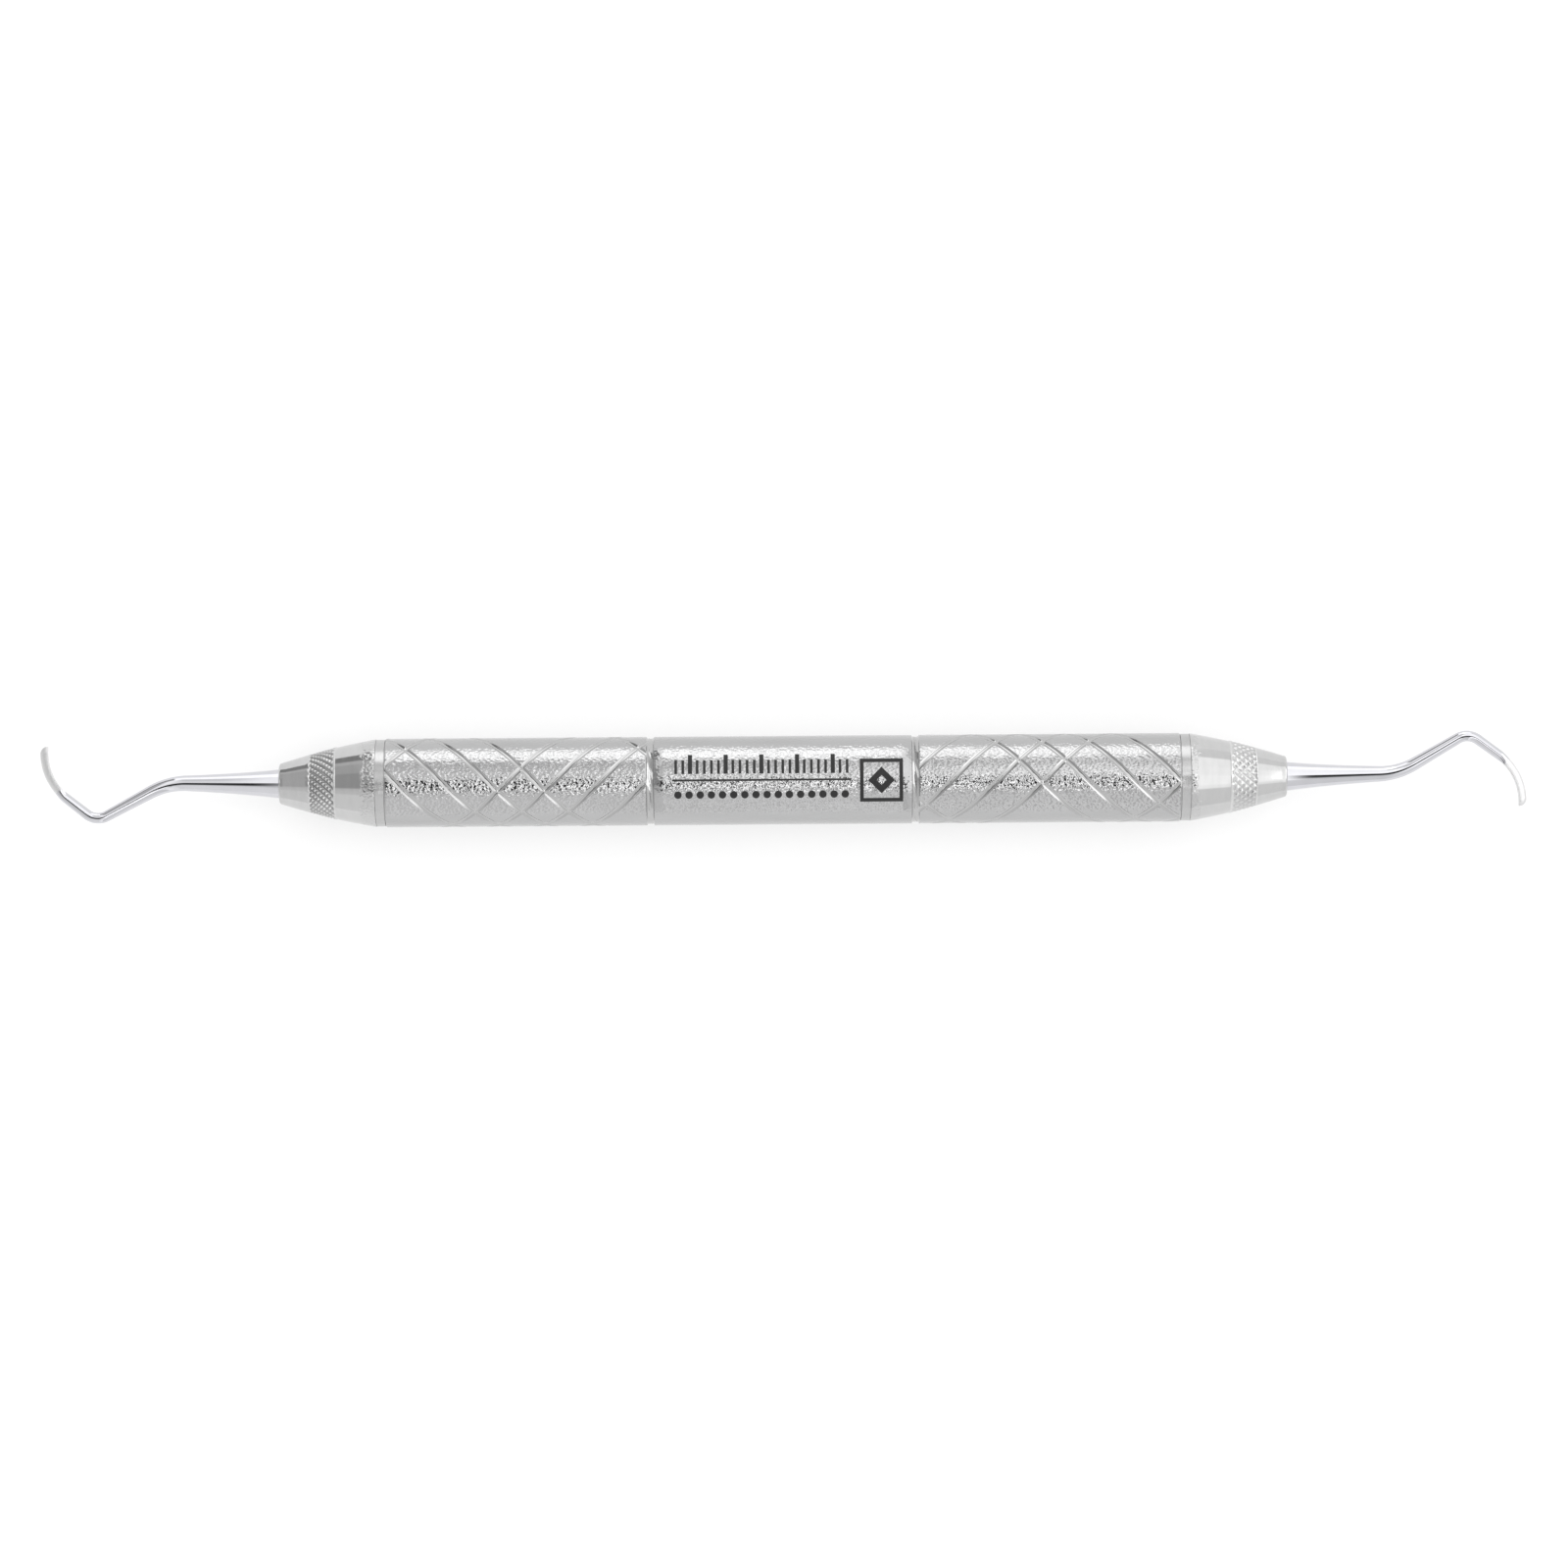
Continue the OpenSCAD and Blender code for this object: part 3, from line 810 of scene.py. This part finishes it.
def seal_rubber():
    material, n, shader = new_material("seal_rubber", Metallic=0.0)
    place = n.place()
    bloom = n.noise(place, 1.4, 4.0)
    n.feed(shader.inputs["Base Color"], n.mix(bloom, grey(0.012), grey(0.035)))
    n.feed(shader.inputs["Roughness"], n.ramp(bloom, 0.3, 0.7, 0.45, 0.65))
    n.feed(shader.inputs["Normal"], n.bump(n.noise(place, 12.0, 3.0), 0.004))
    return material


def mirror_steel():
    """Mirror-polished shank that turns into a matte ground blade."""
    material, n, shader = new_material("mirror_steel", Metallic=1.0)
    place = n.place()
    ground = n.value_of("finish_and_shade")
    haze = n.noise(place, 0.6, 3.0)
    grain = n.streaks(place, (5.0, 5.0, 22.0))
    polished = n.mix(haze, grey(0.60, 0.03), grey(0.67, 0.03))
    honed = n.mix(grain, grey(0.66), grey(0.78))
    n.feed(shader.inputs["Base Color"], n.mix(ground, polished, honed))
    n.feed(shader.inputs["Roughness"], n.blend(ground, n.ramp(haze, 0.3, 0.7, 0.035, 0.07), 0.45))
    height = n.math("MULTIPLY", grain, n.blend(ground, 0.04, 1.0))
    n.feed(shader.inputs["Normal"], n.bump(height, 0.008))
    return material


# ---------------------------------------------------------------- pieces

FINISHES = {make.__name__: make() for make in (textured_steel, turned_steel, polished_ring, seal_rubber,
                                               polished_cone, mirror_steel)}
handle_tube()
for end_name, end_side in SIDES.items():
    thread_bush(end_name, end_side)
    joint_ring(end_name, end_side)
    o_ring(end_name, end_side)
    end_cone(end_name, end_side)
    working_end(end_name, end_side)

# ---------------------------------------------------------------- floor, studio and camera

FLOOR_SIZE, FLOOR_DROP, FLOOR_GLOW = 6, 0.00002, 0.59               # metres, metres, strength
LAMP_SIZE, LAMP_HEIGHT, LAMP_POWER = 2.4, 1.3, 4                    # metres, metres, watts
CAMERA_HEIGHT, CAMERA_X, CAMERA_Y = 0.7, 0.00012, -0.00044          # metres from the handle's middle
CAMERA_LENS, CAMERA_SENSOR, CAMERA_TURN = 142.5, 36, -0.0075        # millimetres, radians


def pale_floor():
    """A pale light table: its own glow keeps the contact shadows faint."""
    bpy.ops.mesh.primitive_plane_add(size=FLOOR_SIZE, location=(0, 0, -FLOOR_DROP))
    floor = bpy.context.object
    floor.name = "floor"
    material, n, shader = new_material("floor", Roughness=0.9, Specular_IOR_Level=0.1,
                                       Emission_Color=grey(1.0), Emission_Strength=FLOOR_GLOW)
    n.feed(shader.inputs["Base Color"], n.mix(n.noise(n.place(), 0.004, 2.0), grey(0.40), grey(0.42)))
    floor.data.materials.append(material)


def soft_overhead():
    """Fills the floor with light that the metal doesn't mirror."""
    data = bpy.data.lights.new("soft_overhead", "AREA")
    data.shape, data.size, data.energy = "DISK", LAMP_SIZE, LAMP_POWER
    light = bpy.data.objects.new("soft_overhead", data)
    bpy.context.collection.objects.link(light)
    light.location = (0, 0, LAMP_HEIGHT)
    light.visible_glossy = False
    light.visible_camera = False


# The studio as bands of directions. "from" is the angle in degrees from straight up towards -Y where a
# band starts, and "glow" its brightness by the angle in degrees towards +X.
SIDE_LIGHT = [(42, 2.7), (58, 2.7), (66, 0.7)]
PANELS = [
    {"from": -180, "glow": [(-45, 0.5), (-24, 0.9), (0, 1.0), (45, 1.0)]},
    {"from": -94, "glow": [(-45, 0.35), (-16.4, 0.3), (-15.4, 1.7), (-14, 1.6), (14, 1.6), (20, 1.0)]},
    {"from": -70, "glow": [(-45, 0.7), (-16.4, 0.66), (-15.4, 1.7), (-14, 1.6), (14, 1.6), (20, 1.0)]},
    {"from": -59, "glow": [(-36, 0.6), (-30, 0.55), (-23, 0.55), (-19, 1.3), (-15, 1.3), (-11, 0.85),
                           (-4, 0.85), (4, 1.3), (18, 1.5), (37, 1.3)] + SIDE_LIGHT},
    {"from": -30, "glow": [(-66, 0.5), (-58, 1.6), (-46, 1.6), (-42, 0.6), (-36, 0.6), (-30, 0.44),
                           (-23, 0.44), (-19, 1.3), (-15, 1.3), (-11, 1.0), (-4, 1.0), (4, 1.5),
                           (18, 1.5), (37, 1.4)] + SIDE_LIGHT},
    {"from": -5, "glow": [(-36, 0.6), (-30, 0.44), (-18, 0.44), (-15, 0.04), (15, 0.04),
                          (18, 1.55), (37, 1.5)] + SIDE_LIGHT},
    {"from": 16, "glow": [(-45, 0.75), (-18, 0.75), (-15, 0.25), (15, 0.25), (18, 1.55), (45, 1.5),
                          (60, 0.8)]},
    {"from": 24, "glow": [(-45, 0.8), (-18, 0.8), (-12, 0.9), (6, 0.75), (15, 0.8), (18, 1.5),
                          (45, 1.2), (60, 0.8)]},
    {"from": 35, "glow": [(-45, 0.85), (-12, 1.0), (7, 0.82), (20, 0.95), (45, 1.0)]},
]
# What the handle mirrors: stripes in the narrow sector straight above it, by the same angle, with
# their brightness at the sector's left and right edge
STRIPES = [
    {"from": -180, "left": 1.0, "right": 1.0},
    {"from": -94, "left": 2.3, "right": 2.0},
    {"from": -59, "left": 0.92, "right": 1.1},
    {"from": -50, "left": 0.55, "right": 0.8},
    {"from": -43, "left": 1.3, "right": 1.4},
    {"from": -37, "left": 0.7, "right": 1.0},
    {"from": -30, "left": 0.92, "right": 2.2},
    {"from": -20, "left": 1.3, "right": 1.0},
    {"from": -13, "left": 0.5, "right": 2.8},
    {"from": -6, "left": 1.9, "right": 1.8},
    {"from": 0, "left": 0.35, "right": 1.6},
    {"from": 7, "left": 2.4, "right": 3.0},
    {"from": 14, "left": 0.35, "right": 1.3},
    {"from": 20, "left": 2.0, "right": 2.8},
    {"from": 27, "left": 0.6, "right": 1.0},
    {"from": 33, "left": 1.1, "right": 1.25},
]
SECTOR_HALF, SECTOR_SOFT = 4.4, 0.2     # degrees towards +X and -X
PANEL_SOFT, STRIPE_SOFT = 1.5, 1        # degrees over which one band turns into the next
BRIGHTEST = 3.0                         # the brightness that a ramp's white stands for


def studio():
    world = bpy.data.worlds.new("studio")
    bpy.context.scene.world = world
    world.use_nodes = True
    n = Nodes(world.node_tree)
    background = world.node_tree.nodes["Background"]
    x, y, z = n.parts(n.add("ShaderNodeTexCoord").outputs["Generated"])
    forward = n.math("DEGREES", n.math("ARCTAN2", n.math("MULTIPLY", y, -1.0), z))
    sideways = n.math("DEGREES", n.math("ARCSINE", x))
    share = n.ramp(sideways, -90, 90, smooth_step=False)
    glow = None
    for panel in PANELS:
        stops = n.add("ShaderNodeValToRGB", {"Fac": share})
        while len(stops.color_ramp.elements) < len(panel["glow"]):
            stops.color_ramp.elements.new(0.5)
        for element, (angle, level) in zip(stops.color_ramp.elements, panel["glow"]):
            element.position = (angle + 90) / 180
            element.color = (level / BRIGHTEST,) * 3 + (1,)
        edge = n.ramp(forward, panel["from"] - PANEL_SOFT, panel["from"] + PANEL_SOFT)
        level = stops.outputs["Color"]
        glow = level if glow is None else n.mix(edge, glow, level)
    striped = None
    for stripe in STRIPES:
        level = n.ramp(sideways, -1, 2, stripe["left"] / BRIGHTEST, stripe["right"] / BRIGHTEST)
        edge = n.ramp(forward, stripe["from"] - STRIPE_SOFT, stripe["from"] + STRIPE_SOFT)
        striped = level if striped is None else n.blend(edge, striped, level)
    glow = n.mix(n.inside(sideways, -SECTOR_HALF, SECTOR_HALF, SECTOR_SOFT), glow, striped)
    seen = n.add("ShaderNodeLightPath").outputs["Is Camera Ray"]
    n.feed(background.inputs["Color"], n.mix(seen, glow, grey(1 / BRIGHTEST)))
    background.inputs["Strength"].default_value = BRIGHTEST


def camera():
    """Straight down at the level instrument, turned by the slight slant it lies at."""
    data = bpy.data.cameras.new("camera")
    data.lens, data.sensor_width = CAMERA_LENS, CAMERA_SENSOR
    holder = bpy.data.objects.new("camera", data)
    bpy.context.collection.objects.link(holder)
    holder.location = (CAMERA_X, CAMERA_Y, CAMERA_HEIGHT + axis_z * MM)
    holder.rotation_euler = (0, 0, CAMERA_TURN)
    bpy.context.scene.camera = holder


pale_floor()
soft_overhead()
studio()
camera()
bpy.context.scene.view_settings.view_transform = "Standard"
